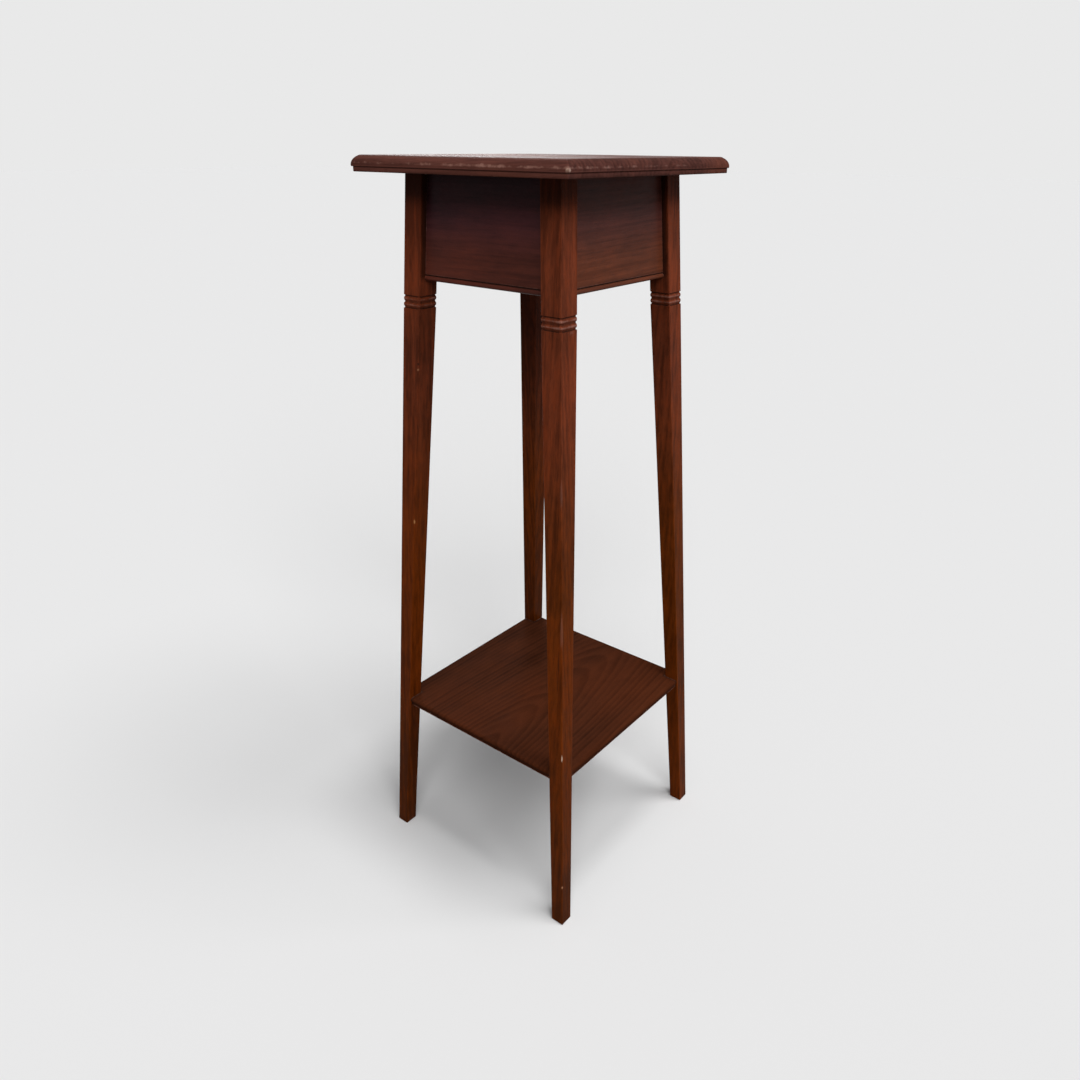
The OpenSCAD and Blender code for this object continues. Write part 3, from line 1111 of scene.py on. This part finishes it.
class STAND_OT_joinery(bpy.types.Operator):
    """Finish the glue blocks, dowels and screws, which keep their CAD shapes"""

    bl_idname = "stand.joinery"
    bl_label = "Blocks, dowels and screws"

    def execute(self, context):
        f = settings("finish")
        block_log = Log("Z", (0.02, 0.05, 0.0), (0.1, 0.05), ring=0.0030, figure=0.45, warp=0.006)
        dowel_log = Log("X", (0.0, 0.03, 0.7), (0.0, 0.02), ring=0.0024, figure=0.20, warp=0.004)
        materials = {
            "block": bare_wood("Block_pine", f.pine, block_log),
            "dowels": bare_wood("Dowel_beech", f.beech, dowel_log),
            "screws": dull_steel("Screw_steel", f.steel),
        }
        for name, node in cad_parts.items():
            for kind, material in materials.items():
                if kind in name:
                    for slot in node.material_slots:
                        slot.material = material
        return {"FINISHED"}


class STAND_OT_stage(bpy.types.Operator):
    """Set the floor, soft lamps, backdrop and the camera of the photograph"""

    bl_idname = "stand.stage"
    bl_label = "Studio"

    def floor(self):
        """A wide pale floor, which lights the stand less than it shows."""
        st = settings("studio")
        floor_half = 30.0
        shader = Shader("Floor_pale")
        bounce = rgba((st.floor_bounce,) * 3)
        shader.set("Base Color", shader.lit_or_seen(bounce, rgba(st.floor)))
        shader.set("Roughness", 1.0)
        shader.set("Specular IOR Level", 0.0)
        bm = bmesh.new()
        bmesh.ops.create_grid(bm, x_segments=1, y_segments=1, size=floor_half)
        as_object(bm, "Floor", shader.material)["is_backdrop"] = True

    def world(self):
        """Even soft light; what the camera or the polish sees is the pale backdrop."""
        st = settings("studio")
        world = bpy.data.worlds.new("Studio")
        world.use_nodes = True
        nodes = Nodes(world.node_tree)
        bluer = 1.02
        sky = (st.sky, st.sky, st.sky * bluer, 1.0)
        background = nodes.tree.nodes["Background"]
        nodes.feed(background.inputs["Color"], nodes.lit_or_seen(sky, rgba(st.floor)))
        bpy.context.scene.world = world

    def toward(self, azimuth, elevation):
        """The direction of a lamp, from angles in degrees."""
        rise = math.radians(elevation)
        turn = Matrix.Rotation(math.radians(azimuth), 3, "Z")
        return turn @ Vector((math.cos(rise), 0, math.sin(rise)))

    def lamp(self, name, kind, toward, spread, lit=None):
        """A lamp that shines from the direction given, on all or on the lit pieces."""
        data = bpy.data.lights.new(name, kind)
        lamp = linked(name, data)
        direction = Vector(toward).normalized()
        reach = settings("studio").lamp_reach
        aim = Vector((0.0, 0.0, 0.8 * TOP_HIGH.z))
        lamp.location = aim + direction * reach
        lamp.rotation_euler = direction.to_track_quat("Z", "Y").to_euler()
        lamp.visible_camera = False
        if lit:
            lamp.light_linking.receiver_collection = lit
        if kind == "SUN":
            data.angle = math.radians(spread)
        else:
            data.shape = "DISK"
            data.size = 2 * reach * math.tan(math.radians(spread / 2))
        return data

    def lamps(self):
        """Three suns that cast the floor's shadow, and three lamps on the stand alone."""
        st = settings("studio")
        stand = bpy.data.collections.new("Lit_stand")
        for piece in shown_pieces():
            stand.objects.link(piece)
        suns = (
            ("Broad_lamp", (20, 60), 30, st.broad_lamp),
            ("High_lamp", (0, 85), 14, st.high_lamp),
            ("Low_lamp", (-40, 35), 40, st.low_lamp),
        )
        for name, angles, spread, light in suns:
            toward = self.toward(*angles)
            self.lamp(name, "SUN", toward, spread).energy = light * math.pi / toward.z
        white, cool = (1.0, 1.0, 1.0), (0.98, 1.13, 1.35)
        disks = (
            ("Front_lamp", (0.10, -1.0, 0.93), 18, st.front_lamp, white),
            ("Right_lamp", (1.0, -0.10, 0.93), 18, st.right_lamp, cool),
            ("Back_lamp", (-0.8, 0.7, 0.6), 30, st.back_lamp, white),
        )
        for name, toward, spread, light, tint in disks:
            data = self.lamp(name, "AREA", toward, spread, stand)
            data.color = tint
            data.energy = light * math.pi * st.lamp_reach**2

    def camera(self):
        """The camera that a fit of the photograph's edges gives."""
        back = Vector((0.57773857, -0.74756272, 0.32767074))
        up = Vector((-0.20697292, 0.25415078, 0.94475901))
        right = Vector((0.7895444, 0.61364269, 0.00789253))
        place = Vector((0.66183, -0.80966, 0.91237))
        data = bpy.data.cameras.new("Camera")
        data.lens = 29.40
        data.sensor_width = 36.0
        data.shift_x = -0.0257
        data.shift_y = -0.0833
        camera = linked("Camera", data)
        turn = Matrix((right, up, back)).transposed().to_4x4()
        camera.matrix_world = Matrix.Translation(place) @ turn
        bpy.context.scene.camera = camera

    def execute(self, context):
        self.floor()
        self.world()
        self.lamps()
        self.camera()
        context.scene.view_settings.view_transform = "Standard"
        return {"FINISHED"}


class STAND_PT_panel(bpy.types.Panel):
    """Lists the steps that build the stand's looks"""

    bl_idname = "STAND_PT_panel"
    bl_label = "Plant Stand"
    bl_space_type = "VIEW_3D"
    bl_region_type = "UI"
    bl_category = "Stand"

    def draw(self, context):
        for step in STEPS:
            self.layout.operator(step.bl_idname)
        for name in STATE:
            box = self.layout.box()
            box.label(text=name.capitalize())
            group = settings(name)
            for key in group.bl_rna.properties.keys():
                if key not in ("name", "rna_type"):
                    box.prop(group, key)


STEPS = (
    STAND_OT_legs,
    STAND_OT_aprons,
    STAND_OT_boards,
    STAND_OT_joinery,
    STAND_OT_stage,
)


def register():
    for name, group in STATE.items():
        bpy.utils.register_class(group)
        setattr(bpy.types.Scene, "stand_" + name, PointerProperty(type=group))
    for kind in (*STEPS, STAND_PT_panel):
        bpy.utils.register_class(kind)


def unregister():
    for kind in reversed((*STEPS, STAND_PT_panel)):
        bpy.utils.unregister_class(kind)
    for name, group in STATE.items():
        delattr(bpy.types.Scene, "stand_" + name)
        bpy.utils.unregister_class(group)


def main():
    register()
    bpy.ops.stand.legs()
    bpy.ops.stand.aprons()
    bpy.ops.stand.boards()
    bpy.ops.stand.joinery()
    bpy.ops.stand.stage()


if __name__ == "__main__":
    main()
